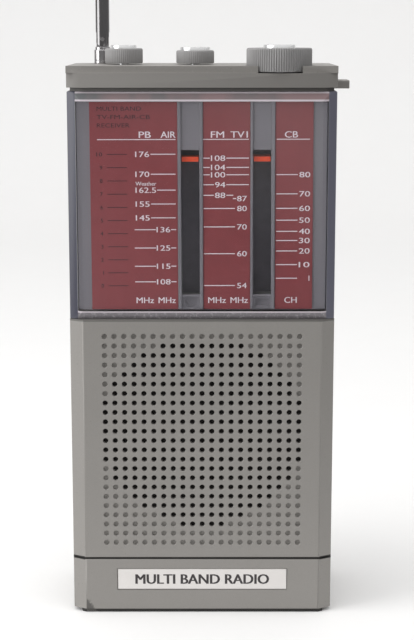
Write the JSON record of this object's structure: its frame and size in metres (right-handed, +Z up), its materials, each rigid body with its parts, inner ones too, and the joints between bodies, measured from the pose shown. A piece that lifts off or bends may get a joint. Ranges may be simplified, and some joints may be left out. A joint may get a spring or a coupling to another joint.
{
  "type": "portable multi-band receiver",
  "caption": "Upright hand-held receiver with perforated speaker front, tall slide-rule dial behind a clear cover, top knobs and a telescopic rod antenna.",
  "frame": {"origin": "middle of the foot, on the surface the case stands on", "axes": "+Z up, front faces -Y, +X to the right of someone facing the dial"},
  "size_m": [0.1002, 0.0491, 0.3358],
  "materials": {
    "case": "fine moulded texture, slightly worn",
    "clear_cover": "clear polished plastic",
    "dial_silver": "satin silver grey",
    "maroon_print": "printed film",
    "white_label": "satin white",
    "pointer_orange": "bright orange red",
    "bright_metal": "bright, lightly brushed",
    "chrome": "polished",
    "can_metal": "dull",
    "knob_grey": "satin with a fine grip",
    "ivory_plastic": "moulded",
    "black_plastic": "satin",
    "part_wrap": "shrunk sleeve",
    "cord": "waxed",
    "board": "bare laminate",
    "black_cloth": "open weave",
    "cone": "pressed fibre"
  },
  "bodies": {
    "case": {"front_shell": "case", "grille_field": "case", "rear_shell": "case", "top_cap": "case", "dial_lens": "clear_cover", "dial_plate": "dial_silver", "scale_panels": "maroon_print", "name_plate": "white_label", "guide_rod": "bright_metal", "dial_cord": "cord", "cord_bracket": "bright_metal", "tuning_capacitor": "ivory_plastic", "volume_pot": "can_metal", "squelch_pot": "can_metal", "pot_nuts": "can_metal", "main_board": "board", "coil_cans": "can_metal", "capacitors": "part_wrap", "audio_chip": "black_plastic", "band_switch": "can_metal", "dust_cloth": "black_cloth", "speaker_frame": "can_metal", "speaker_magnet": "black_plastic", "speaker_cone": "cone", "dust_cap": "cone", "phone_jack": "black_plastic", "power_jack": "black_plastic", "battery_cells": "part_wrap", "battery_springs": "bright_metal", "battery_plates": "bright_metal", "strap_lug": "case", "antenna_bush": "chrome", "case_screws": "can_metal", "board_screws": "can_metal"},
    "pointer_carriage": {"pointer": "pointer_orange"},
    "left_wheel": {"left_pulley": "ivory_plastic"},
    "right_wheel": {"right_pulley": "ivory_plastic"},
    "drum": {"cord_drum": "ivory_plastic"},
    "tuning": {"tuning_spindle": "bright_metal", "tuning_knob": "knob_grey", "tuning_disc": "bright_metal"},
    "volume": {"volume_shaft": "bright_metal", "volume_knob": "knob_grey", "volume_disc": "bright_metal"},
    "squelch": {"squelch_shaft": "bright_metal", "squelch_knob": "knob_grey", "squelch_disc": "bright_metal"},
    "band_button": {"band_slider": "black_plastic"},
    "door": {"battery_door": "case"},
    "antenna_swivel": {"antenna_base": "chrome", "antenna_pin": "chrome"},
    "mast_1": {"antenna_tube_1": "chrome"},
    "mast_2": {"antenna_tube_2": "chrome"},
    "mast_3": {"antenna_tube_3": "chrome"},
    "mast_4": {"antenna_tube_4": "chrome"},
    "mast_5": {"antenna_rod": "chrome", "antenna_tip": "chrome"}
  },
  "joints": [
    {"name": "tuning_turn", "type": "hinge", "parent": "case", "child": "tuning", "pos_m": [0.0273, -0.0135, 0.2], "axis": [0, 0, 1], "range_deg": [-28, 575]},
    {"name": "pointer_travel", "type": "slide", "parent": "case", "child": "pointer_carriage", "axis": [0, 0, 1], "range_m": [-0.0452, 0.0022]},
    {"name": "drum_turn", "type": "hinge", "parent": "case", "child": "drum", "pos_m": [0.022, -0.009, 0.1226], "axis": [0, 1, 0], "range_deg": [-167, 8.2]},
    {"name": "left_wheel_turn", "type": "hinge", "parent": "case", "child": "left_wheel", "pos_m": [0.0099, -0.009, 0.19], "axis": [0, 1, 0], "range_deg": [-761.1, 37.1]},
    {"name": "right_wheel_turn", "type": "hinge", "parent": "case", "child": "right_wheel", "pos_m": [0.0341, -0.009, 0.19], "axis": [0, 1, 0], "range_deg": [-761.1, 37.1]},
    {"name": "volume_turn", "type": "hinge", "parent": "case", "child": "volume", "pos_m": [-0.0283, 0, 0.2], "axis": [0, 0, 1], "range_deg": [-150, 150]},
    {"name": "squelch_turn", "type": "hinge", "parent": "case", "child": "squelch", "pos_m": [-0.0025, 0, 0.2], "axis": [0, 0, 1], "range_deg": [-150, 150]},
    {"name": "band_select", "type": "slide", "parent": "case", "child": "band_button", "axis": [0, 0, 1], "range_m": [-0.008, 0.008]},
    {"name": "door_open", "type": "hinge", "parent": "case", "child": "door", "pos_m": [0, 0.023, 0.018], "axis": [-1, 0, 0], "range_deg": [0, 90]},
    {"name": "antenna_turn", "type": "hinge", "parent": "case", "child": "antenna_swivel", "pos_m": [-0.0368, 0.014, 0.202], "axis": [0, 0, 1], "continuous": true},
    {"name": "antenna_tilt", "type": "hinge", "parent": "antenna_swivel", "child": "mast_1", "pos_m": [-0.0368, 0.014, 0.2086], "axis": [0, 1, 0], "range_deg": [-90, 90]},
    {"name": "mast_2_pull", "type": "slide", "parent": "mast_1", "child": "mast_2", "axis": [0, 0, 1], "range_m": [0, 0.104]},
    {"name": "mast_3_pull", "type": "slide", "parent": "mast_2", "child": "mast_3", "axis": [0, 0, 1], "range_m": [0, 0.102]},
    {"name": "mast_4_pull", "type": "slide", "parent": "mast_3", "child": "mast_4", "axis": [0, 0, 1], "range_m": [0, 0.1]},
    {"name": "mast_5_pull", "type": "slide", "parent": "mast_4", "child": "mast_5", "axis": [0, 0, 1], "range_m": [0, 0.098]}
  ],
  "couplings": [
    {"joint": "pointer_travel", "follows": "tuning_turn", "m_per_rad": -0.0045},
    {"joint": "drum_turn", "follows": "tuning_turn", "ratio": -0.29032},
    {"joint": "left_wheel_turn", "follows": "tuning_turn", "ratio": -1.3235},
    {"joint": "right_wheel_turn", "follows": "tuning_turn", "ratio": -1.3235}
  ]
}
